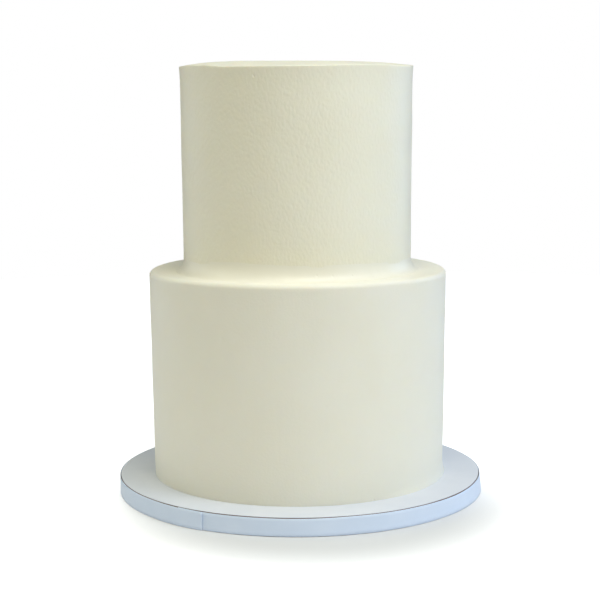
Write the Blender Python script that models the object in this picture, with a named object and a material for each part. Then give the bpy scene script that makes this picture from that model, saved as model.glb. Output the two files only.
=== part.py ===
"""Two-tier wedding cake in smooth cream icing, standing on its round cake board.

Metres, +Z up. The origin is the centre of the board's underside, and the front of the cake faces -Y.
The cake is built the way a baker builds it: a thick round board with a paper strip glued round its edge,
a lower tier on the board, an upper tier on the lower one, and a bead of icing smoothed into the corner
between them. Neighbours that touch keep a gap of GAP.
"""
import math

import bmesh
import bpy
from mathutils import Vector

# Driving dimensions, in metres
GAP = 0.0003
SEGMENTS = 96

BOARD_RADIUS = 0.1266
BOARD_THICKNESS = 0.0127
BOARD_EDGE_ROUND = 0.0005

STRIP_THICKNESS = 0.0003
STRIP_FOOT = 0.0005
STRIP_TOP = 0.0124
STRIP_SEAM_ANGLE = math.radians(231.0)
STRIP_LAP_ANGLE = math.radians(9.0)
STRIP_LAP_RISE_ANGLE = math.radians(14.0)
STRIP_LOOSE_ANGLE = math.radians(-8.0)
STRIP_LOOSE_SPREAD = math.radians(30.0)
STRIP_LOOSE = 0.0012

LOWER_OFFSET_X = -0.00075
LOWER_FOOT_RADIUS = 0.1016
LOWER_TOP_RADIUS = 0.1033
LOWER_HEIGHT = 0.1430
LOWER_EDGE_ROUND = 0.0034
FOOT_SPREAD = 0.0014
FOOT_SPREAD_HEIGHT = 0.0090
FOOT_SPREAD_FROM = math.radians(-62.0)
FOOT_SPREAD_TO = math.radians(40.0)
FOOT_SPREAD_EASE = math.radians(22.0)

UPPER_OFFSET_X = -0.00093
UPPER_FOOT_RADIUS = 0.0789
UPPER_TOP_RADIUS = 0.0797
UPPER_RIM_HEIGHT = 0.1390
UPPER_EDGE_ROUND = 0.0013

FOOT_ROUND = 0.0006
FLARE = 0.0005
FLARE_HEIGHT = 0.0120
CROWN = 0.0040
CROWN_POWER = 4.5
CROWN_LEAN = 0.0006
RIM_REACH = 0.0120
RIM_POWER = 10
# How far the rim stands above its lowest place: degrees round from +X, and metres
RIM_RISES = (
    (-180, 0.0003), (-165, 0.0008), (-152, 0.0014), (-138, 0.0012), (-126, 0.0004), (-100, 0.0005),
    (-75, 0.0009), (-54, 0.0014), (-43, 0.0009), (-33, 0.0002), (-20, 0.0), (-5, 0.0006),
    (15, 0.0008), (60, 0.0003), (120, 0.0005), (180, 0.0003),
)
OUT_OF_ROUND = 0.0002

BEAD_HEIGHT = 0.0072
BEAD_WIDTH = 0.0062
BEAD_FEATHER = 0.0003
BEAD_STEPS = 5


def surface(name, colour, roughness):
    """A Principled material of one colour."""
    material = bpy.data.materials.new(name)
    material.use_nodes = True
    shader = material.node_tree.nodes["Principled BSDF"]
    shader.inputs["Base Color"].default_value = (*colour, 1.0)
    shader.inputs["Roughness"].default_value = roughness
    shader.inputs["Metallic"].default_value = 0.0
    return material


def finish(name, bm, material, lift=0.0, shift=0.0):
    """Closes a bmesh into a named object, lifted and shifted to its place."""
    bmesh.ops.recalc_face_normals(bm, faces=bm.faces)
    mesh = bpy.data.meshes.new(name)
    bm.to_mesh(mesh)
    bm.free()
    mesh.materials.append(material)
    mesh.shade_smooth()
    mesh.set_sharp_from_angle(angle=math.radians(40.0))
    thing = bpy.data.objects.new(name, mesh)
    thing.location = (shift, 0.0, lift)
    bpy.context.scene.collection.objects.link(thing)
    return thing


def turned(profile, closed=False):
    """Spins a profile of (radius, height) points round Z. A closed profile makes a ring."""
    bm = bmesh.new()
    verts = [bm.verts.new((radius, 0.0, height)) for radius, height in profile]
    ends = verts[1:] + verts[:1] if closed else verts[1:]
    edges = [bm.edges.new(pair) for pair in zip(verts, ends)]
    bmesh.ops.spin(
        bm,
        geom=verts + edges,
        cent=(0.0, 0.0, 0.0),
        axis=(0.0, 0.0, 1.0),
        angle=math.tau,
        steps=SEGMENTS,
        use_merge=True,
    )
    bmesh.ops.remove_doubles(bm, verts=bm.verts, dist=1e-6)
    return bm


def rounded_corner(radius, height, round_by, steps):
    """Points of a quarter circle that turns from a wall at radius into a top at height."""
    turns = [math.pi / 2 * i / steps for i in range(steps + 1)]
    return [
        (radius - round_by * (1 - math.cos(t)), height - round_by * (1 - math.sin(t)))
        for t in turns
    ]


def iced_side(foot_radius, top_radius, side_height, levels, flare):
    """Points up the scraped side of a tier: it widens a little upwards and may flare at the top."""
    points = [(foot_radius - FOOT_ROUND, 0.0)]
    for share in levels:
        height = FOOT_ROUND + (side_height - FOOT_ROUND) * share
        radius = foot_radius + (top_radius - foot_radius) * share
        from_flare = max(0.0, 1 - (side_height - height) / FLARE_HEIGHT)
        points.append((radius + flare * from_flare**2, height))
    return points


def out_of_round(angle):
    """How far a hand-smoothed tier stands out of a true circle at an angle."""
    return OUT_OF_ROUND * (0.6 * math.cos(2 * angle + 0.7) + 0.4 * math.cos(3 * angle - 1.1))


def hand_smooth(bm):
    """Takes a turned tier or bead slightly out of round, as icing scraped by hand is."""
    for vert in bm.verts:
        radius = math.hypot(vert.co.x, vert.co.y)
        if radius > UPPER_FOOT_RADIUS / 2:
            angle = math.atan2(vert.co.y, vert.co.x)
            swell = 1 + out_of_round(angle) / radius
            vert.co.x *= swell
            vert.co.y *= swell


def eased(share):
    """A share held between 0 and 1, with soft ends."""
    held = min(1.0, max(0.0, share))
    return held * held * (3 - 2 * held)


def cake_board():
    """The thick round board: two rounded edges and flat faces."""
    top = rounded_corner(BOARD_RADIUS, BOARD_THICKNESS, BOARD_EDGE_ROUND, 2)
    foot = [(radius, BOARD_THICKNESS - height) for radius, height in reversed(top)]
    inner = BOARD_RADIUS * 0.6
    profile = [(0.0, 0.0), (inner, 0.0), *foot, *top, (inner, BOARD_THICKNESS), (0.0, BOARD_THICKNESS)]
    board_paper = surface("board_paper", (0.66, 0.69, 0.70), 0.75)
    return finish("cake_board", turned(profile), board_paper)


def strip_stand_off(turn):
    """How far the strip's inner face stands off the board's edge, after a turn from its seam."""
    lap = eased((turn - math.tau + STRIP_LAP_RISE_ANGLE) / STRIP_LAP_RISE_ANGLE)
    return GAP + lap * (STRIP_THICKNESS + GAP)


def strip_looseness(angle):
    """How far the strip's lower edge stands out, on the side where it has come loose."""
    away = (angle - STRIP_LOOSE_ANGLE + math.pi) % math.tau - math.pi
    return STRIP_LOOSE * math.exp(-((away / STRIP_LOOSE_SPREAD) ** 2))


def edge_strip():
    """The paper strip round the board's edge: one band whose tail laps over its start at the seam."""
    total = math.tau + STRIP_LAP_ANGLE
    steps = round(SEGMENTS * total / math.tau)
    levels = (0.0, 0.5, 1.0)
    bm = bmesh.new()
    column = [bm.verts.new() for _ in levels]
    for lower, upper in zip(column, column[1:]):
        bm.edges.new((lower, upper))
    for step in range(steps + 1):
        turn = total * step / steps
        angle = STRIP_SEAM_ANGLE + turn
        if step:
            old_edges = [bm.edges.get(pair) for pair in zip(column, column[1:])]
            made = bmesh.ops.extrude_edge_only(bm, edges=old_edges)["geom"]
            new_verts = [item for item in made if isinstance(item, bmesh.types.BMVert)]
            column = sorted(new_verts, key=lambda vert: vert.co.z)
        for vert, level in zip(column, levels):
            stand_off = strip_stand_off(turn) + strip_looseness(angle) * (1 - level)
            radius = BOARD_RADIUS + stand_off
            height = STRIP_FOOT + (STRIP_TOP - STRIP_FOOT) * level
            vert.co = Vector((radius * math.cos(angle), radius * math.sin(angle), height))
    strip_paper = surface("strip_paper", (0.50, 0.58, 0.70), 0.35)
    band = finish("edge_strip", bm, strip_paper)
    walls = band.modifiers.new("Thickness", "SOLIDIFY")
    walls.thickness = STRIP_THICKNESS
    walls.offset = 1.0
    return band


def foot_spread(angle, height):
    """How far the lower tier's foot stands out at right, where the scraper left a tail of icing."""
    share = eased((angle - FOOT_SPREAD_FROM) / FOOT_SPREAD_EASE)
    share *= eased((FOOT_SPREAD_TO - angle) / FOOT_SPREAD_EASE)
    top = FOOT_SPREAD_HEIGHT * share
    return FOOT_SPREAD * share * (1 - height / top) ** 2 if height < top else 0.0


def lower_tier(icing):
    """The wide tier: a scraped side, a softly rounded top edge and a flat ledge."""
    edge_foot = LOWER_HEIGHT - LOWER_EDGE_ROUND
    levels = (0.0, 0.018, 0.038, 0.062, 0.25, 0.5, 0.75)
    side = iced_side(LOWER_FOOT_RADIUS, LOWER_TOP_RADIUS, edge_foot, levels, 0.0)
    edge = rounded_corner(LOWER_TOP_RADIUS, LOWER_HEIGHT, LOWER_EDGE_ROUND, 5)
    inner = UPPER_FOOT_RADIUS * 0.7
    profile = [(0.0, 0.0), (inner, 0.0), *side, *edge, (inner, LOWER_HEIGHT), (0.0, LOWER_HEIGHT)]
    bm = turned(profile)
    hand_smooth(bm)
    for vert in bm.verts:
        radius = vert.co.xy.length
        if radius > UPPER_FOOT_RADIUS:
            spread = foot_spread(math.atan2(vert.co.y, vert.co.x), vert.co.z)
            vert.co.xy *= 1 + spread / radius
    return finish("lower_tier", bm, icing, BOARD_THICKNESS + GAP, LOWER_OFFSET_X)


def crown_height(x, y):
    """Height of the upper tier's swept top above its rim: a shallow crown that leans to -X."""
    out = min(1.0, math.hypot(x, y) / (UPPER_TOP_RADIUS - UPPER_EDGE_ROUND))
    lean = -CROWN_LEAN * x / UPPER_TOP_RADIUS * (1 - out**8)
    return CROWN * (1 - out**CROWN_POWER) + lean


def rim_rise(angle):
    """How far the rim stands up at an angle, read between the named places."""
    degrees = math.degrees(angle)
    for (start, low), (end, high) in zip(RIM_RISES, RIM_RISES[1:]):
        if start <= degrees <= end:
            return low + (high - low) * eased((degrees - start) / (end - start))
    return RIM_RISES[0][1]


def upper_tier(icing):
    """The narrow tier: a scraped side that flares at the top, a crisp rim and a crowned top."""
    edge_foot = UPPER_RIM_HEIGHT - UPPER_EDGE_ROUND
    levels = (0.0, 0.25, 0.5, 0.75, 0.91, 0.96)
    side = iced_side(UPPER_FOOT_RADIUS, UPPER_TOP_RADIUS, edge_foot, levels, FLARE)
    edge = rounded_corner(UPPER_TOP_RADIUS + FLARE, UPPER_RIM_HEIGHT, UPPER_EDGE_ROUND, 3)
    crown = [(UPPER_TOP_RADIUS * share, UPPER_RIM_HEIGHT) for share in (0.93, 0.85, 0.73, 0.55, 0.3)]
    inner = UPPER_FOOT_RADIUS * 0.6
    profile = [(0.0, 0.0), (inner, 0.0), *side, *edge, *crown, (0.0, UPPER_RIM_HEIGHT)]
    bm = turned(profile)
    for vert in bm.verts:
        below_rim = max(0.0, UPPER_RIM_HEIGHT - vert.co.z)
        if below_rim < UPPER_EDGE_ROUND / 8:
            vert.co.z += crown_height(vert.co.x, vert.co.y)
        out = min(1.0, vert.co.xy.length / UPPER_TOP_RADIUS)
        reach = eased(1 - below_rim / RIM_REACH)
        vert.co.z += rim_rise(math.atan2(vert.co.y, vert.co.x)) * reach * out**RIM_POWER
    hand_smooth(bm)
    lift = BOARD_THICKNESS + GAP + LOWER_HEIGHT + GAP
    return finish("upper_tier", bm, icing, lift, UPPER_OFFSET_X)


def joint_icing(icing):
    """The bead of icing in the corner between the tiers, drawn to a hollow fillet with thin edges."""
    wall = UPPER_FOOT_RADIUS + GAP
    taper = (UPPER_TOP_RADIUS - UPPER_FOOT_RADIUS) / UPPER_RIM_HEIGHT
    wall_top = wall + taper * BEAD_HEIGHT
    hollow = []
    for step in range(BEAD_STEPS + 1):
        turn = math.pi / 2 * step / BEAD_STEPS
        out = BEAD_FEATHER + (BEAD_WIDTH - BEAD_FEATHER) * (1 - math.sin(turn))
        up = BEAD_FEATHER + (BEAD_HEIGHT - BEAD_FEATHER) * (1 - math.cos(turn))
        hollow.append((wall + out, up))
    profile = [(wall, 0.0), (wall + BEAD_WIDTH, 0.0), *hollow, (wall_top, BEAD_HEIGHT)]
    bm = turned(profile, closed=True)
    hand_smooth(bm)
    lift = BOARD_THICKNESS + GAP + LOWER_HEIGHT + GAP
    return finish("joint_icing", bm, icing, lift, UPPER_OFFSET_X)


for old in list(bpy.data.objects):
    bpy.data.objects.remove(old)

cream_icing = surface("cream_icing", (0.78, 0.75, 0.60), 0.45)
cake_board()
edge_strip()
lower_tier(cream_icing)
upper_tier(cream_icing)
joint_icing(cream_icing)
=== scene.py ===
"""A plain two-tier wedding cake in cream buttercream, on its board, as a studio picture shows it."""

import math

import bmesh
import bpy
import numpy as np
from mathutils import Matrix, Vector


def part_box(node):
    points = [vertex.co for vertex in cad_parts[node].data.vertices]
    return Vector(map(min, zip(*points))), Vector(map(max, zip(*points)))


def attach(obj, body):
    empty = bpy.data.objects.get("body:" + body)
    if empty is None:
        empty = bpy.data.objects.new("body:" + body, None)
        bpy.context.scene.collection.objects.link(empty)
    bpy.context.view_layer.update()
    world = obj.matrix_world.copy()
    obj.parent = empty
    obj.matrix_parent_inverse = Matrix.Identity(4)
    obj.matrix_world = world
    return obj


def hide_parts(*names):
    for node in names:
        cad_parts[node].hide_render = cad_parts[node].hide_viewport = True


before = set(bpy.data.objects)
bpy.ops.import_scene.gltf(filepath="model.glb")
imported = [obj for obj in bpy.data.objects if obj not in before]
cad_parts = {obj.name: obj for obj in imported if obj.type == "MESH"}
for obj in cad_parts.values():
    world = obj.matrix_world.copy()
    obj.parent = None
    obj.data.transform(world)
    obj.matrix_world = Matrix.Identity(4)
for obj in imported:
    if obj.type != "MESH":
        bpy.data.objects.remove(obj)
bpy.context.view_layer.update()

# The table, the camera and the light
# A white table top in a bright room, lit by soft panels: three above, a small one close by at the right,
# and lower ones round the sides. The table glows white to the camera, but its glow fades to a painted
# shadow round the board; to the light falling on the cake it glows faintly, as painted bounce light.
scene = bpy.context.scene
scene.view_settings.view_transform = "Standard"

CAMERA_PLACE = (0.0004, -1.0882, 0.2927)
CAMERA_PITCH = math.radians(8.331)
CAMERA_YAW = math.radians(-0.023)
CAMERA_ROLL = math.radians(-0.349)
CAMERA_LENS = 94.08
CAMERA_SENSOR = 36.0
ROOM_LIGHT = 0.15
LIGHT_AIM = (0.0, 0.0, 0.15)
PANEL = 1.05
TOP_PANEL = 1.2
WINDOW_PANEL = 0.4
TABLE_RADIUS = 1.2
TABLE_STEPS = 64
TABLE_ROUGHNESS = 0.9
TABLE_GREY = 0.70
TABLE_GLOW = 0.9
# A faint glow that only the light falling on the cake sees: painted bounce light from the table below.
TABLE_PAINTED_BOUNCE = 0.2
# The painted shadow round the board, where the table's glow fades: its middle on the table, and where it
# starts and ends out from there
PAINTED_SHADE_MIDDLE = (0.011, -0.058, 0.0)
PAINTED_SHADE_FROM = 0.086
PAINTED_SHADE_TO = 0.185

camera = bpy.data.objects.new("camera", bpy.data.cameras.new("camera"))
camera.data.lens = CAMERA_LENS
camera.data.sensor_width = CAMERA_SENSOR
camera.matrix_world = (
    Matrix.Translation(CAMERA_PLACE)
    @ Matrix.Rotation(CAMERA_YAW, 4, "Z")
    @ Matrix.Rotation(math.pi / 2 - CAMERA_PITCH, 4, "X")
    @ Matrix.Rotation(CAMERA_ROLL, 4, "Z")
)
scene.collection.objects.link(camera)
scene.camera = camera

room = bpy.data.worlds.new("room")
room.use_nodes = True
backdrop = room.node_tree.nodes["Background"]
backdrop.inputs["Color"].default_value = (1.0, 1.0, 1.0, 1.0)
seen = room.node_tree.nodes.new("ShaderNodeLightPath")
strength = room.node_tree.nodes.new("ShaderNodeMapRange")
strength.inputs["To Min"].default_value = ROOM_LIGHT
strength.inputs["To Max"].default_value = 1.0
room.node_tree.links.new(seen.outputs["Is Camera Ray"], strength.inputs["Value"])
room.node_tree.links.new(strength.outputs["Result"], backdrop.inputs["Strength"])
scene.world = room


def soft_light(name, place, size, watts, colour):
    """A square panel, of this width in metres and this many watts, that faces the middle of the cake."""
    data = bpy.data.lights.new(name, "AREA")
    data.size = size
    data.energy = watts
    data.color = colour
    lamp = bpy.data.objects.new(name, data)
    lamp.location = place
    away = Vector(place) - Vector(LIGHT_AIM)
    lamp.rotation_euler = away.to_track_quat("Z", "Y").to_euler()
    lamp.visible_camera = False
    scene.collection.objects.link(lamp)


soft_light("front_ceiling", (0.0, -0.94, 1.92), PANEL, 12.0, (1.0, 0.90, 0.59))
soft_light("right_ceiling", (0.66, -0.66, 1.92), PANEL, 12.8, (0.93, 0.985, 0.97))
soft_light("top_panel", (0.0, 0.05, 2.15), TOP_PANEL, 8.0, (0.62, 0.80, 1.0))
soft_light("near_window", (0.5, -0.3, 0.75), WINDOW_PANEL, 1.45, (0.85, 0.85, 1.0))
soft_light("left_wall", (-1.64, 0.0, 1.30), PANEL, 6.6, (0.955, 1.0, 0.84))
soft_light("right_wall", (1.71, -0.98, 0.50), PANEL, 5.0, (0.51, 0.76, 1.0))
soft_light("back_right", (1.71, 0.98, 0.50), PANEL, 6.2, (0.39, 0.62, 1.0))
soft_light("back_left", (-1.71, 0.98, 0.50), PANEL, 4.0, (0.91, 0.95, 1.0))


def plain_material(name, colour, roughness):
    """A node material of one colour, with its node tree and shader for what a piece adds to it."""
    material = bpy.data.materials.new(name)
    material.use_nodes = True
    shader = material.node_tree.nodes["Principled BSDF"]
    shader.inputs["Base Color"].default_value = (*colour, 1.0)
    shader.inputs["Roughness"].default_value = roughness
    return material, material.node_tree, shader


table_with_painted_shade, tree, shader = plain_material("table_with_painted_shade", (TABLE_GREY,) * 3, TABLE_ROUGHNESS)
shader.inputs["Specular IOR Level"].default_value = 0.0
shader.inputs["Emission Color"].default_value = (1.0, 1.0, 1.0, 1.0)
place = tree.nodes.new("ShaderNodeTexCoord")
away = tree.nodes.new("ShaderNodeVectorMath")
away.operation = "DISTANCE"
away.inputs[1].default_value = PAINTED_SHADE_MIDDLE
# The glow that the camera sees fades out near the board: a painted shadow, off-centre to the front.
glow = tree.nodes.new("ShaderNodeMapRange")
glow.interpolation_type = "SMOOTHSTEP"
glow.inputs["From Min"].default_value = PAINTED_SHADE_FROM
glow.inputs["From Max"].default_value = PAINTED_SHADE_TO
glow.inputs["To Max"].default_value = TABLE_GLOW
seen = tree.nodes.new("ShaderNodeLightPath")
# The camera sees the glow with its painted shadow; all other rays see the faint painted bounce glow.
shown = tree.nodes.new("ShaderNodeMix")
shown.inputs["A"].default_value = TABLE_PAINTED_BOUNCE
tree.links.new(place.outputs["Object"], away.inputs[0])
tree.links.new(away.outputs["Value"], glow.inputs["Value"])
tree.links.new(glow.outputs["Result"], shown.inputs["B"])
tree.links.new(seen.outputs["Is Camera Ray"], shown.inputs["Factor"])
tree.links.new(shown.outputs["Result"], shader.inputs["Emission Strength"])
bm = bmesh.new()
bmesh.ops.create_circle(bm, cap_ends=True, segments=TABLE_STEPS, radius=TABLE_RADIUS)
table_mesh = bpy.data.meshes.new("table")
bm.to_mesh(table_mesh)
bm.free()
table_mesh.materials.append(table_with_painted_shade)
table = bpy.data.objects.new("table", table_mesh)
scene.collection.objects.link(table)

# The cake board
# A drum of thick cardboard, 10 inches across and half an inch thick. White paper is glued over its
# top and ends at the rim, so that the brown board shows as a dark line above the edge strip.
DRUM_STEPS = 320
DRUM_ROUND = 0.0004
DRUM_ROUND_STEPS = 2
DRUM_RINGS = (0.02,)
TOP_PAPER = 0.00028
TOP_PAPER_INSET = 0.00012
TOP_PAPER_RINGS = (0.002, 0.004, 0.008, 0.016)
TOP_PAPER_WANDER = 0.00010
NEAR_RIM = 0.001
SHARP_FROM = math.radians(50.0)
NOISE_LOW = 0.35
NOISE_HIGH = 0.65
KRAFT_DARK = (0.14, 0.08, 0.065)
KRAFT_LIGHT = (0.20, 0.12, 0.10)
KRAFT_ROUGHNESS = 0.9
KRAFT_FIBRE_SCALE = 900.0
KRAFT_FIBRE_BUMP = 0.3
PAPER_DARK = (0.685, 0.72, 0.79)
PAPER_LIGHT = (0.715, 0.745, 0.81)
PAPER_ROUGHNESS = 0.6
PAPER_CLOUD_SCALE = 45.0
PAPER_EMBOSS_SCALE = 1400.0
PAPER_EMBOSS_BUMP = 0.25
PAPER_BUMP_DEPTH = 0.0002

board_low, board_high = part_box("cake_board")
board_radius = (board_high.x - board_low.x) / 2
board_top = board_high.z


def finished(name, bm, material, node=None):
    """Turns a bmesh into a piece that rides on the cake, and stands for a node where one is given."""
    mesh = bpy.data.meshes.new(name)
    bm.to_mesh(mesh)
    bm.free()
    mesh.materials.append(material)
    mesh.shade_smooth()
    mesh.set_sharp_from_angle(angle=SHARP_FROM)
    piece = bpy.data.objects.new(name, mesh)
    scene.collection.objects.link(piece)
    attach(piece, "root")
    if node:
        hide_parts(node)
    return piece


def round_block(steps, foot_radius, top_radius, low, high, foot_round, top_round, round_steps):
    """A closed round block, with its rims softened where a rounding is given."""
    bm = bmesh.new()
    depth = high - low
    bmesh.ops.create_cone(
        bm, cap_ends=True, segments=steps, radius1=foot_radius, radius2=top_radius, depth=depth
    )
    middle = low + depth / 2
    bmesh.ops.translate(bm, verts=bm.verts, vec=(0.0, 0.0, middle))
    for above, amount in ((True, top_round), (False, foot_round)):
        if amount:
            rim = [e for e in bm.edges if all((v.co.z > middle) == above for v in e.verts)]
            bmesh.ops.bevel(
                bm, geom=rim, offset=amount, segments=round_steps, profile=0.5,
                affect="EDGES", material=-1,
            )
    return bm


def ring_caps(bm, rings):
    """Sets rings of quads into the top from its rim, and closes top and foot to a centre point."""
    bm.normal_update()
    foot = min(bm.faces, key=lambda face: face.calc_area() * face.normal.z)
    for inset in rings:
        top = max(bm.faces, key=lambda face: face.calc_area() * face.normal.z)
        bmesh.ops.inset_individual(bm, faces=[top], thickness=inset, use_even_offset=True)
    bmesh.ops.poke(bm, faces=[top, foot])


def fractal_noise(tree, scale, detail=4.0, lean=0.0, stretch=1.0):
    """Fractal noise in the piece's own space: features of about 1 / scale metres, leant and drawn out."""
    place = tree.nodes.new("ShaderNodeTexCoord")
    turned = tree.nodes.new("ShaderNodeMapping")
    turned.inputs["Rotation"].default_value = (0.0, lean, 0.0)
    turned.inputs["Scale"].default_value = (1.0, 1.0, stretch)
    noise = tree.nodes.new("ShaderNodeTexNoise")
    noise.inputs["Scale"].default_value = scale
    noise.inputs["Detail"].default_value = detail
    tree.links.new(place.outputs["Object"], turned.inputs["Vector"])
    tree.links.new(turned.outputs["Vector"], noise.inputs["Vector"])
    return noise


def bumped(tree, shader, height_socket, strength, distance):
    """Raises the surface's grain from a height with a Bump node."""
    bump = tree.nodes.new("ShaderNodeBump")
    bump.inputs["Strength"].default_value = strength
    bump.inputs["Distance"].default_value = distance
    tree.links.new(height_socket, bump.inputs["Height"])
    tree.links.new(bump.outputs["Normal"], shader.inputs["Normal"])


def ramped(tree, factor_socket, target_socket, low_value, high_value):
    """Drives a colour or a grey value between two shades with a noise."""
    ramp = tree.nodes.new("ShaderNodeValToRGB")
    ramp.color_ramp.elements[0].position = NOISE_LOW
    ramp.color_ramp.elements[0].color = (*low_value, 1.0)
    ramp.color_ramp.elements[1].position = NOISE_HIGH
    ramp.color_ramp.elements[1].color = (*high_value, 1.0)
    tree.links.new(factor_socket, ramp.inputs["Fac"])
    tree.links.new(ramp.outputs["Color"], target_socket)


kraft_board, tree, shader = plain_material("kraft_board", KRAFT_DARK, KRAFT_ROUGHNESS)
fibre = fractal_noise(tree, KRAFT_FIBRE_SCALE)
ramped(tree, fibre.outputs["Fac"], shader.inputs["Base Color"], KRAFT_DARK, KRAFT_LIGHT)
bumped(tree, shader, fibre.outputs["Fac"], KRAFT_FIBRE_BUMP, PAPER_BUMP_DEPTH)
paper_foot = board_top - TOP_PAPER
bm = round_block(
    DRUM_STEPS, board_radius, board_radius, 0.0, paper_foot, DRUM_ROUND, DRUM_ROUND, DRUM_ROUND_STEPS
)
ring_caps(bm, DRUM_RINGS)
finished("drum", bm, kraft_board, "cake_board")

white_paper, tree, shader = plain_material("white_paper", PAPER_DARK, PAPER_ROUGHNESS)
cloud = fractal_noise(tree, PAPER_CLOUD_SCALE)
ramped(tree, cloud.outputs["Fac"], shader.inputs["Base Color"], PAPER_DARK, PAPER_LIGHT)
emboss = fractal_noise(tree, PAPER_EMBOSS_SCALE, detail=2.0)
bumped(tree, shader, emboss.outputs["Fac"], PAPER_EMBOSS_BUMP, PAPER_BUMP_DEPTH)
paper_radius = board_radius - TOP_PAPER_INSET
bm = round_block(
    DRUM_STEPS, paper_radius, paper_radius, paper_foot, board_top,
    TOP_PAPER / 3, TOP_PAPER / 3, DRUM_ROUND_STEPS,
)
ring_caps(bm, TOP_PAPER_RINGS)
for vert in bm.verts:
    if vert.co.xy.length > paper_radius - NEAR_RIM:
        turn = math.atan2(vert.co.y, vert.co.x)
        wander = (math.sin(11 * turn + 0.4) + 0.6 * math.sin(29 * turn + 2.0)) / 1.6
        vert.co.xy *= 1 + TOP_PAPER_WANDER * wander / paper_radius
finished("top_paper", bm, white_paper)

# The edge strip
# A strip of pale blue coated paper, cut by hand a little narrower than the drum is thick and glued
# round its edge. Its tail laps over its start at the front left, and it has come loose at the right.
STRIP_PAPER = 0.00026
STRIP_STAND_OFF = 0.0003
STRIP_LEVELS = 6
STRIP_STEPS = 420
STRIP_SEAM_ANGLE = math.radians(231.45)
STRIP_LAP_ANGLE = math.radians(9.0)
STRIP_LAP_RISE = math.radians(14.0)
STRIP_LAP_LIFT = 0.0008
STRIP_LOOSE_ANGLE = math.radians(-8.0)
STRIP_LOOSE_SPREAD = math.radians(30.0)
STRIP_LOOSE = 0.0012
STRIP_CUT_SHORT = 0.00032
STRIP_CUT_WANDER = 0.00018
STRIP_CUT_SHORT_ANGLE = math.radians(-60.0)
STRIP_FOOT_LONG = 0.0003
STRIP_FOOT_SHORT = 0.00015
STRIP_FOOT_SHORT_ANGLE = math.radians(-93.0)
STRIP_FOOT_SHORT_POWER = 12
STRIP_DARK = (0.665, 0.77, 0.93)
STRIP_LIGHT = (0.695, 0.795, 0.95)
STRIP_ROUGHNESS = 0.38
STRIP_CLOUD_SCALE = 60.0
STRIP_PULP_SCALE = 1100.0
STRIP_PULP_BUMP = 0.10

strip_low, strip_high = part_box("edge_strip")


def eased(share):
    """A share held between 0 and 1, with soft ends."""
    held = np.clip(share, 0.0, 1.0)
    return held * held * (3 - 2 * held)


strip_paper, tree, shader = plain_material("blue_strip_paper", STRIP_DARK, STRIP_ROUGHNESS)
cloud = fractal_noise(tree, STRIP_CLOUD_SCALE)
ramped(tree, cloud.outputs["Fac"], shader.inputs["Base Color"], STRIP_DARK, STRIP_LIGHT)
pulp = fractal_noise(tree, STRIP_PULP_SCALE, detail=2.0)
bumped(tree, shader, pulp.outputs["Fac"], STRIP_PULP_BUMP, PAPER_BUMP_DEPTH)

bm = bmesh.new()
column = [bm.verts.new((0.0, 0.0, float(level))) for level in range(STRIP_LEVELS + 1)]
for pair in zip(column, column[1:]):
    bm.edges.new(pair)
strip_turn = math.tau + STRIP_LAP_ANGLE
for step in range(STRIP_STEPS + 1):
    turn = strip_turn * step / STRIP_STEPS
    angle = STRIP_SEAM_ANGLE + turn
    if step:
        last = [bm.edges.get(pair) for pair in zip(column, column[1:])]
        made = bmesh.ops.extrude_edge_only(bm, edges=last)["geom"]
        column = sorted((v for v in made if isinstance(v, bmesh.types.BMVert)), key=lambda v: v.co.z)
    lapped = STRIP_LAP_LIFT * float(eased((turn - math.tau + STRIP_LAP_RISE) / STRIP_LAP_RISE))
    away = (angle - STRIP_LOOSE_ANGLE + math.pi) % math.tau - math.pi
    loose = STRIP_LOOSE * math.exp(-((away / STRIP_LOOSE_SPREAD) ** 2))
    cut = STRIP_CUT_WANDER * (math.sin(5 * angle + 1.0) + 0.5 * math.sin(13 * angle)) / 1.5
    foot_facing = max(0.0, math.cos(angle - STRIP_FOOT_SHORT_ANGLE))
    low = strip_low.z - STRIP_FOOT_LONG + STRIP_FOOT_SHORT * foot_facing**STRIP_FOOT_SHORT_POWER
    high = strip_high.z - STRIP_CUT_SHORT * (0.6 + 0.4 * math.cos(angle - STRIP_CUT_SHORT_ANGLE)) + cut
    for number, vert in enumerate(column):
        share = number / STRIP_LEVELS
        radius = board_radius + STRIP_STAND_OFF + lapped + loose * (1 - share)
        vert.co = Vector((radius * math.cos(angle), radius * math.sin(angle), low + (high - low) * share))
bmesh.ops.recalc_face_normals(bm, faces=bm.faces)
strip = finished("paper_strip", bm, strip_paper, "edge_strip")
walls = strip.modifiers.new("paper", "SOLIDIFY")
walls.thickness = STRIP_PAPER
walls.offset = 1.0

# The lower tier
# An 8 inch sponge iced in cream buttercream. The side is scraped upright against a turntable, the top
# is swept flat, and the edge between them is softened. The scraper left a tail of icing at the foot.
LOWER_STEPS = 640
LOWER_SIDE_CUTS = 118
LOWER_EDGE_ROUND = 0.0030
EDGE_ROUND_STEPS = 6
LOWER_OFFSET_X = -0.00075
LOWER_FOOT_RADIUS = 0.1016
LOWER_TOP_RADIUS = 0.1033
LOWER_RINGS = (0.0009, 0.0012, 0.0016, 0.002, 0.003, 0.004, 0.005, 0.006, 0.012, 0.02)
TIER_SINK = 0.0001
FACES_DOWN = -0.2
OUT_OF_ROUND = 0.0002
LEDGE_LIFT = 0.0019
LEDGE_LIFT_FROM = 0.070
LEDGE_LIFT_FRONT = 0.2
LEDGE_LIFT_ROUND_POWER = 0.8
LEDGE_LIFT_OUT_POWER = 1.5
LEDGE_RELIEF_FROM = 0.086
LEDGE_RELIEF_EASE = 0.004
SHOULDER_DROP = 0.0005
SHOULDER_REACH = 0.010
SHOULDER_DROP_GONE = 0.08
FOOT_SPREAD = 0.0014
FOOT_SPREAD_HEIGHT = 0.0090
FOOT_SPREAD_FROM = math.radians(-62.0)
FOOT_SPREAD_TO = math.radians(40.0)
FOOT_SPREAD_EASE = math.radians(22.0)
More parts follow.
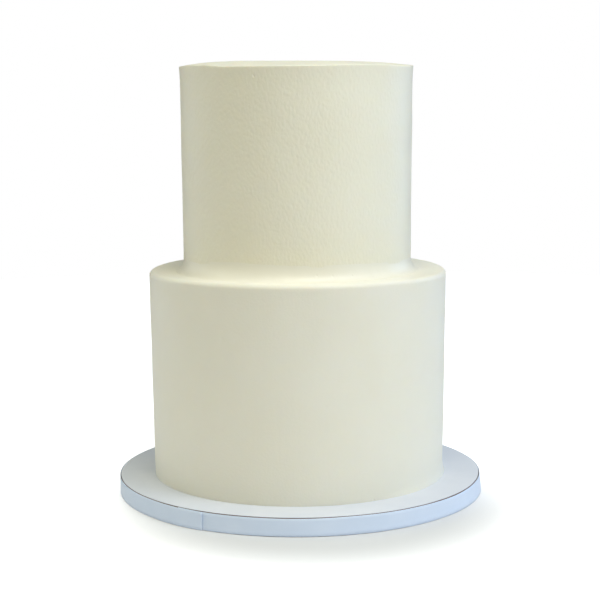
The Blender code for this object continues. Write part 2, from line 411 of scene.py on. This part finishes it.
# Nearer the middle than this, a point is part of a tier's top or foot and keeps its radius
SIDE_FROM = 0.05
ICING_DARK = (0.887, 0.857, 0.727)
ICING_LIGHT = (0.902, 0.877, 0.757)
ICING_SCATTER = 0.3
ICING_SCATTER_RADIUS = (1.0, 0.85, 0.6)
ICING_SCATTER_SCALE = 0.002
ICING_BATCH_SCALE = 16.0
SHEEN_PATCH_SCALE = 70.0
SCRAPED_ROUGHNESS = (0.38, 0.48)
AIR_PIT_DEPTH = 0.0004
# An icing's air pits: noise scale, strength, lean and how far they are drawn out
SCRAPED_PITS = (700.0, 0.3, 0.0, 1.0)
# Relief in the icing: its spread in metres, then how far its marks reach across and along, and any lean
STREAK_DEPTH = 0.000010
STREAKS = (0.0035, 0.060)
BROAD_DENT_DEPTH = 0.000060
BROAD_DENTS = (0.045, 0.060)
LOWER_PEEL_DEPTH = 0.000007
LOWER_PEEL = (0.0028, 0.0040, 0.5)
SWEEP_DEPTH = 0.00003
SWEEPS = (0.012, 0.030, 0.6)
SWEEP_FIELD = 0.6
MARK_REACH = 0.0022
MARK_CUTS = 2
GRAIN_CELL = 0.0005
GRAIN_UP = 0.3

lower_low, lower_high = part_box("lower_tier")


def icing_grain(seed, around, up, across, along, lean=0.0):
    """A random height map of unit spread: marks this far across and along, leaning from upright."""
    rows = round(up / GRAIN_CELL)
    columns = round(around / GRAIN_CELL)
    noise = np.random.default_rng(seed).standard_normal((rows, columns))
    per_up = np.fft.fftfreq(rows, GRAIN_CELL)[:, None]
    per_around = np.fft.fftfreq(columns, GRAIN_CELL)[None, :]
    wide = (per_around * math.cos(lean) + per_up * math.sin(lean)) * across
    long = (per_up * math.cos(lean) - per_around * math.sin(lean)) * along
    size = wide**2 + long**2
    made = np.fft.ifft2(np.fft.fft2(noise) * size * np.exp(-size)).real
    return made / made.std()


def read_grain(grain, around, up):
    """The height map's value at distances round and up the side, in metres, wrapping both ways."""
    rows, columns = grain.shape
    row = up / GRAIN_CELL
    column = around / GRAIN_CELL
    row_low = np.floor(row).astype(int)
    column_low = np.floor(column).astype(int)
    row_part = row - row_low
    column_part = column - column_low
    value = 0.0
    for row_step, row_weight in ((0, 1 - row_part), (1, row_part)):
        for column_step, column_weight in ((0, 1 - column_part), (1, column_part)):
            cells = grain[(row_low + row_step) % rows, (column_low + column_step) % columns]
            value = value + row_weight * column_weight * cells
    return value


def out_of_round(angle):
    """How far a hand-smoothed tier stands out of a true circle at an angle."""
    return OUT_OF_ROUND * (0.6 * np.cos(2 * angle + 0.7) + 0.4 * np.cos(3 * angle - 1.1))


def foot_spread(angle, height):
    """How far the lower tier's foot stands out at right."""
    share = eased((angle - FOOT_SPREAD_FROM) / FOOT_SPREAD_EASE)
    share = share * eased((FOOT_SPREAD_TO - angle) / FOOT_SPREAD_EASE)
    top = FOOT_SPREAD_HEIGHT * share + 1e-6
    return FOOT_SPREAD * share * np.clip(1 - height / top, 0.0, 1.0) ** 2


def ledge_lift(angle, radius):
    """How much higher the ledge stands at the front than at the back, most of it at its rim."""
    front = np.clip((-np.sin(angle) - LEDGE_LIFT_FRONT) / (1 - LEDGE_LIFT_FRONT), 0.0, 1.0)
    out = np.clip((radius - LEDGE_LIFT_FROM) / (LOWER_TOP_RADIUS - LEDGE_LIFT_FROM), 0.0, 1.0)
    return LEDGE_LIFT * front**LEDGE_LIFT_ROUND_POWER * out**LEDGE_LIFT_OUT_POWER


def iced_block(steps, foot_radius, top_radius, low, high, edge_round, side_cuts, rings):
    """A tier's plain block: its top edge softened, its side cut fine and its top ringed."""
    bm = round_block(steps, foot_radius, top_radius, low, high, 0.0, edge_round, EDGE_ROUND_STEPS)
    upright = [e for e in bm.edges if abs(e.verts[0].co.z - e.verts[1].co.z) > (high - low) / 2]
    bmesh.ops.subdivide_edges(bm, edges=upright, cuts=side_cuts, use_grid_fill=True)
    ring_caps(bm, rings)
    return bm


def refine(bm, marks, rise):
    """Cuts the faces round each small mark finer, so that the mark has points to stand on."""
    for degrees, height, *_ in marks:
        turn = math.radians(degrees)
        near = set()
        for vert in bm.verts:
            away = (math.atan2(vert.co.y, vert.co.x) - turn + math.pi) % math.tau - math.pi
            flat = away * vert.co.xy.length
            close = math.hypot(flat, vert.co.z - rise - height / 1000) < MARK_REACH
            if close and vert.co.xy.length > SIDE_FROM:
                near.add(vert)
        edges = [e for e in bm.edges if e.verts[0] in near and e.verts[1] in near]
        bmesh.ops.subdivide_edges(bm, edges=edges, cuts=MARK_CUTS, use_grid_fill=True)


def dents(marks, angle, radius, height):
    """The sum of small marks in the icing: degrees, height, half width, half height, depth in mm, lean."""
    total = 0.0
    for degrees, up, wide, tall, deep, lean in marks:
        away = (angle - math.radians(degrees) + math.pi) % math.tau - math.pi
        across = away * radius * 1000
        along = height * 1000 - up
        turned_across = across * math.cos(lean) + along * math.sin(lean)
        turned_along = along * math.cos(lean) - across * math.sin(lean)
        size = (turned_across / wide) ** 2 + (turned_along / tall) ** 2
        total = total - deep / 1000 * (1 - 0.5 * size) * np.exp(-size)
    return total


def mesh_points(mesh):
    """A mesh's points and their normals as two arrays of rows."""
    points = np.empty(len(mesh.vertices) * 3, np.float32)
    normals = np.empty(len(mesh.vertices) * 3, np.float32)
    mesh.vertices.foreach_get("co", points)
    mesh.vertex_normals.foreach_get("vector", normals)
    return points.reshape(-1, 3).astype(float), normals.reshape(-1, 3).astype(float)


def put_points(mesh, points):
    """Writes an array of rows back as a mesh's points."""
    mesh.vertices.foreach_set("co", points.astype(np.float32).ravel())
    mesh.update()


def icing_material(name, dark, light, roughness, pits, scatter):
    """Buttercream: light goes a few millimetres in, and its satin skin has fine air pits."""
    material, tree, shader = plain_material(name, dark, sum(roughness) / 2)
    shader.subsurface_method = "RANDOM_WALK"
    shader.inputs["Subsurface Weight"].default_value = scatter
    shader.inputs["Subsurface Radius"].default_value = ICING_SCATTER_RADIUS
    shader.inputs["Subsurface Scale"].default_value = ICING_SCATTER_SCALE
    batch = fractal_noise(tree, ICING_BATCH_SCALE)
    ramped(tree, batch.outputs["Fac"], shader.inputs["Base Color"], dark, light)
    sheen_patch = fractal_noise(tree, SHEEN_PATCH_SCALE)
    low, high = roughness
    ramped(tree, sheen_patch.outputs["Fac"], shader.inputs["Roughness"], (low,) * 3, (high,) * 3)
    scale, strength, lean, stretch = pits
    air = fractal_noise(tree, scale, detail=3.0, lean=lean, stretch=stretch)
    bumped(tree, shader, air.outputs["Fac"], strength, AIR_PIT_DEPTH)
    return material


cream_icing = icing_material(
    "scraped_buttercream", ICING_DARK, ICING_LIGHT, SCRAPED_ROUGHNESS, SCRAPED_PITS, ICING_SCATTER
)

# Small marks: degrees round from +X, height above the board, half width, half height and depth in mm, lean
LOWER_MARKS = (
    (-118.6, 108.4, 0.9, 2.2, 0.22, 0.15),
    (-80.1, 65.5, 0.5, 0.5, 0.25, 0.0),
    (-59.3, 61.8, 0.5, 0.5, 0.20, 0.0),
    (-44.3, 141.0, 1.4, 0.9, 0.15, 0.4),
    (-34.9, 139.2, 1.2, 0.8, 0.15, -0.3),
    (-61.0, 0.3, 0.8, 1.0, 0.45, 0.0),
)
# The trowel's arc under the edge: degrees round from +X, height above the board and depth in mm
ARC_DEGREES = (-104.0, -102.5, -89.0, -72.8, -70.0)
ARC_HEIGHTS = (134.3, 134.6, 136.7, 139.75, 140.3)
ARC_DEPTHS = (0.0, 0.10, 0.10, 0.10, 0.0)
ARC_HALF_WIDTH = 0.7

bm = iced_block(
    LOWER_STEPS, LOWER_FOOT_RADIUS, LOWER_TOP_RADIUS, board_top - TIER_SINK, lower_high.z,
    LOWER_EDGE_ROUND, LOWER_SIDE_CUTS, LOWER_RINGS,
)
refine(bm, LOWER_MARKS, board_top)
lower = finished("lower_icing", bm, cream_icing, "lower_tier")

lower_around = math.tau * LOWER_TOP_RADIUS
streaks = icing_grain(11, lower_around, GRAIN_UP, *STREAKS)
broad_dents = icing_grain(12, lower_around, GRAIN_UP, *BROAD_DENTS)
peel = icing_grain(13, lower_around, GRAIN_UP, *LOWER_PEEL)
swept = icing_grain(14, SWEEP_FIELD, SWEEP_FIELD, *SWEEPS)

points, normals = mesh_points(lower.data)
angle = np.arctan2(points[:, 1], points[:, 0])
radius = np.hypot(points[:, 0], points[:, 1])
height = points[:, 2] - board_top
around = (angle % math.tau) * LOWER_TOP_RADIUS
upright = np.hypot(normals[:, 0], normals[:, 1]) ** 2
side_relief = (
    STREAK_DEPTH * read_grain(streaks, around, points[:, 2])
    + BROAD_DENT_DEPTH * read_grain(broad_dents, around, points[:, 2])
    + LOWER_PEEL_DEPTH * read_grain(peel, around, points[:, 2])
    + dents(LOWER_MARKS, angle, LOWER_TOP_RADIUS, height)
)
arc_height = np.interp(np.degrees(angle), ARC_DEGREES, ARC_HEIGHTS)
arc_depth = np.interp(np.degrees(angle), ARC_DEGREES, ARC_DEPTHS, left=0.0, right=0.0)
arc_away = (height * 1000 - arc_height) / ARC_HALF_WIDTH
side_relief -= arc_depth / 1000 * np.exp(-arc_away**2)
beyond_bead = eased((radius - LEDGE_RELIEF_FROM) / LEDGE_RELIEF_EASE)
top_relief = SWEEP_DEPTH * read_grain(swept, *(points[:, :2] + SWEEP_FIELD / 2).T) * beyond_bead
relief = side_relief * upright + top_relief * (1 - upright) * (normals[:, 2] > FACES_DOWN)
points += normals * relief[:, None]
near_top = eased((points[:, 2] - lower_high.z + SHOULDER_REACH) / SHOULDER_REACH)
near_edge = np.clip((radius - LOWER_TOP_RADIUS) / SHOULDER_REACH + 1, 0.0, 1.0)
drop = SHOULDER_DROP * near_edge**2 * np.clip(1 + points[:, 1] / SHOULDER_DROP_GONE, 0.0, 1.0)
points[:, 2] += (ledge_lift(angle, radius) - drop) * near_top
grown = (out_of_round(angle) + foot_spread(angle, height)) * (radius > SIDE_FROM)
points[:, :2] *= (1 + grown / np.maximum(radius, SIDE_FROM))[:, None]
points[:, 0] += LOWER_OFFSET_X
put_points(lower.data, points)

# The upper tier
# A 6 inch sponge iced in the same buttercream, drawn a little yellower as painted warm light from above.
# Its side keeps the fine pitted grain of icing scraped when cold, its rim is crisp and a little wavy,
# and its top is swept into a shallow crown.
UPPER_STEPS = 600
UPPER_SIDE_CUTS = 140
UPPER_EDGE_ROUND = 0.0006
UPPER_OFFSET_X = -0.00093
UPPER_FOOT_RADIUS = 0.0789
UPPER_TOP_RADIUS = 0.0797
UPPER_RIM_HEIGHT = 0.1390
UPPER_RINGS = (
    0.0006, 0.0009, 0.0013, 0.0018, 0.0024, 0.003, 0.004, 0.005, 0.006, 0.007, 0.009, 0.011, 0.013
)
FLARE = 0.0005
FLARE_HEIGHT = 0.0120
CROWN = 0.0039
CROWN_POWER = 4.5
CROWN_LEAN = 0.0006
CROWN_LEAN_POWER = 8
RIM_REACH = 0.0120
RIM_POWER = 10
# How far the rim stands above its lowest place: degrees round from +X, and mm
RIM_DEGREES = (-180, -165, -152, -138, -126, -100, -75, -54, -43, -33, -20, -5, 15, 60, 120, 180)
RIM_RISES = (0.3, 0.8, 1.4, 1.2, 0.4, 0.5, 0.9, 1.4, 0.9, 0.2, 0.0, 0.6, 0.8, 0.3, 0.5, 0.3)
UPPER_FOOT_FLARE = 0.0026
UPPER_FOOT_FLARE_HEIGHT = 0.026
UPPER_FOOT_FLARE_ANGLE = math.radians(-122.0)
UPPER_FOOT_FLARE_POWER = 4
# The upper icing is a yellower copy of the lower one: painted warm light from above, not another
# buttercream.
UPPER_ICING_PAINTED_WARM_DARK = (0.888, 0.852, 0.690)
UPPER_ICING_PAINTED_WARM_LIGHT = (0.903, 0.872, 0.720)
PITTED_PITS = (560.0, 0.9, math.radians(35.0), 0.55)
UPPER_DENT_DEPTH = 0.000060
UPPER_DENTS = (0.040, 0.060)
UPPER_LINE_DEPTH = 0.000004
UPPER_LINES = (0.050, 0.0024)
# The pitted grain: deepest at the front left, and fading towards the foot
UPPER_PEEL = (0.0022, 0.0034, 0.6)
PEEL_MOST = math.radians(-103.0)
PEEL_MEAN = 0.000033
PEEL_CHANGE = 0.000027
PEEL_LEAST = 0.35
PEEL_FADE_FOOT = 0.008
PEEL_FADE_HEIGHT = 0.040
UPPER_MARKS = (
    (-109.85, 276.3, 0.7, 1.0, 0.30, 0.7),
    (-110.6, 275.4, 0.4, 0.7, -0.15, -0.6),
)

upper_low, upper_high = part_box("upper_tier")
upper_rim = upper_low.z + UPPER_RIM_HEIGHT


def upper_foot_flare(angle, height):
    """How far the upper tier's foot spreads, most of it at the front left."""
    share = np.clip(1 - height / UPPER_FOOT_FLARE_HEIGHT, 0.0, 1.0) ** 2
    facing = np.clip(np.cos(angle - UPPER_FOOT_FLARE_ANGLE), 0.0, 1.0) ** UPPER_FOOT_FLARE_POWER
    return UPPER_FOOT_FLARE * share * facing


bm = iced_block(
    UPPER_STEPS, UPPER_FOOT_RADIUS, UPPER_TOP_RADIUS, lower_high.z - TIER_SINK, upper_rim,
    UPPER_EDGE_ROUND, UPPER_SIDE_CUTS, UPPER_RINGS,
)
refine(bm, UPPER_MARKS, board_top)
pitted_icing = icing_material(
    "pitted_buttercream", UPPER_ICING_PAINTED_WARM_DARK, UPPER_ICING_PAINTED_WARM_LIGHT, SCRAPED_ROUGHNESS, PITTED_PITS,
    ICING_SCATTER,
)
upper = finished("upper_icing", bm, pitted_icing, "upper_tier")

upper_around = math.tau * UPPER_TOP_RADIUS
upper_dents = icing_grain(21, upper_around, GRAIN_UP, *UPPER_DENTS)
upper_peel = icing_grain(22, upper_around, GRAIN_UP, *UPPER_PEEL)
upper_lines = icing_grain(23, upper_around, GRAIN_UP, *UPPER_LINES)

points, normals = mesh_points(upper.data)
angle = np.arctan2(points[:, 1], points[:, 0])
radius = np.hypot(points[:, 0], points[:, 1])
around = (angle % math.tau) * UPPER_TOP_RADIUS
upright = np.hypot(normals[:, 0], normals[:, 1]) ** 2
peel_depth = PEEL_MEAN + PEEL_CHANGE * np.cos(angle - PEEL_MOST)
above_foot = eased((points[:, 2] - upper_low.z - PEEL_FADE_FOOT) / PEEL_FADE_HEIGHT)
peel_depth *= PEEL_LEAST + (1 - PEEL_LEAST) * above_foot
side_relief = (
    UPPER_DENT_DEPTH * read_grain(upper_dents, around, points[:, 2])
    + peel_depth * read_grain(upper_peel, around, points[:, 2])
    + UPPER_LINE_DEPTH * read_grain(upper_lines, around, points[:, 2])
    + dents(UPPER_MARKS, angle, UPPER_TOP_RADIUS, points[:, 2] - board_top)
)
top_relief = SWEEP_DEPTH * read_grain(swept, *(points[:, :2] + SWEEP_FIELD / 2).T)
relief = side_relief * upright + top_relief * (1 - upright) * (normals[:, 2] > FACES_DOWN)
below_rim = np.maximum(0.0, upper_rim - points[:, 2])
share_out = np.minimum(1.0, radius / UPPER_TOP_RADIUS)
on_top = below_rim < UPPER_EDGE_ROUND / 8
crown_out = np.minimum(1.0, radius / (UPPER_TOP_RADIUS - UPPER_EDGE_ROUND))
lean = -CROWN_LEAN * points[:, 0] / UPPER_TOP_RADIUS * (1 - crown_out**CROWN_LEAN_POWER)
crown = CROWN * (1 - crown_out**CROWN_POWER) + lean
rim_waves = np.interp(np.degrees(angle), RIM_DEGREES, RIM_RISES) / 1000
flare_foot = upper_rim - UPPER_EDGE_ROUND - FLARE_HEIGHT
flare = FLARE * np.clip((points[:, 2] - flare_foot) / FLARE_HEIGHT, 0.0, 1.0) ** 2 * share_out
points += normals * relief[:, None]
points[:, 2] += crown * on_top + rim_waves * eased(1 - below_rim / RIM_REACH) * share_out**RIM_POWER
foot_flare = upper_foot_flare(angle, points[:, 2] - upper_low.z)
grown = (out_of_round(angle) + flare + foot_flare) * (radius > SIDE_FROM)
points[:, :2] *= (1 + grown / np.maximum(radius, SIDE_FROM))[:, None]
points[:, 0] += UPPER_OFFSET_X
put_points(upper.data, points)

# The bead of icing between the tiers
# Icing piped into the corner where the upper tier stands on the ledge, then drawn to a hollow fillet
# with a wet fingertip, so that it is glossier and its edges feather out above and on the ledge.
BEAD_STEPS = 540
BEAD_HEIGHT = 0.0074
BEAD_WIDTH = 0.0056
BEAD_SINK = 0.0004
BEAD_FEATHER = 0.00012
# How tall the bead is round its ring: degrees round from +X, and share of its mean height
BEAD_DEGREES = (-180, -150, -120, -90, -75, -62, -44, -20, 20, 90, 180)
BEAD_SHARES = (0.9, 1.35, 1.65, 1.45, 1.45, 1.45, 1.32, 1.2, 1.0, 0.95, 0.9)
BEAD_POINTS = 16
BEAD_WAVE_DEPTH = 0.00004
BEAD_WAVES = (0.012, 0.030)
FINGERED_ROUGHNESS = (0.32, 0.38)
FINGERED_PITS = (700.0, 0.05, 0.0, 1.0)
BEAD_MARKS = (
    (-81.0, 146.5, 0.7, 0.5, 0.25, 0.0),
    (-73.5, 146.1, 0.5, 0.5, 0.20, 0.0),
    (-63.6, 145.7, 0.6, 0.5, 0.20, 0.0),
)

ledge = lower_high.z
bm = bmesh.new()
wall = UPPER_FOOT_RADIUS
corner = bm.verts.new((wall - BEAD_SINK, 0.0, ledge - BEAD_SINK))
last = bm.verts.new((wall + BEAD_WIDTH, 0.0, ledge - BEAD_SINK))
bm.edges.new((corner, last))
for number in range(BEAD_POINTS + 1):
    turn = math.pi / 2 * number / BEAD_POINTS
    out = wall + BEAD_FEATHER + BEAD_WIDTH * (1 - math.sin(turn))
    up = ledge + BEAD_FEATHER + BEAD_HEIGHT * (1 - math.cos(turn))
    point = bm.verts.new((out, 0.0, up))
    bm.edges.new((last, point))
    last = point
above = bm.verts.new((wall - BEAD_SINK, 0.0, ledge + BEAD_HEIGHT))
bm.edges.new((last, above))
bm.edges.new((above, corner))
bmesh.ops.spin(
    bm, geom=bm.verts[:] + bm.edges[:], cent=(0.0, 0.0, 0.0), axis=(0.0, 0.0, 1.0),
    angle=math.tau, steps=BEAD_STEPS, use_merge=True,
)
bmesh.ops.recalc_face_normals(bm, faces=bm.faces)
refine(bm, BEAD_MARKS, board_top)
wet_icing = icing_material(
    "fingered_buttercream", ICING_DARK, ICING_LIGHT, FINGERED_ROUGHNESS, FINGERED_PITS, 0.0
)
bead = finished("joint_bead", bm, wet_icing, "joint_icing")

bead_waves = icing_grain(31, upper_around, GRAIN_UP, *BEAD_WAVES)
points, normals = mesh_points(bead.data)
angle = np.arctan2(points[:, 1], points[:, 0])
radius = np.hypot(points[:, 0], points[:, 1])
around = (angle % math.tau) * UPPER_TOP_RADIUS
out = np.clip((radius - wall) / BEAD_WIDTH, 0.0, 1.0)
hollow = 4 * out * (1 - out)
relief = BEAD_WAVE_DEPTH * read_grain(bead_waves, around, points[:, 2])
relief = relief + dents(BEAD_MARKS, angle, UPPER_TOP_RADIUS, points[:, 2] - board_top)
points += normals * (relief * hollow)[:, None]
share = np.interp(np.degrees(angle), BEAD_DEGREES, BEAD_SHARES)
points[:, 2] = ledge + (points[:, 2] - ledge) * np.where(points[:, 2] > ledge + BEAD_FEATHER, share, 1.0)
points[:, 2] += ledge_lift(angle, radius)
foot_out = upper_foot_flare(angle, points[:, 2] - ledge)
points[:, :2] *= (1 + (out_of_round(angle) + foot_out) / radius)[:, None]
points[:, 0] += UPPER_OFFSET_X
put_points(bead.data, points)
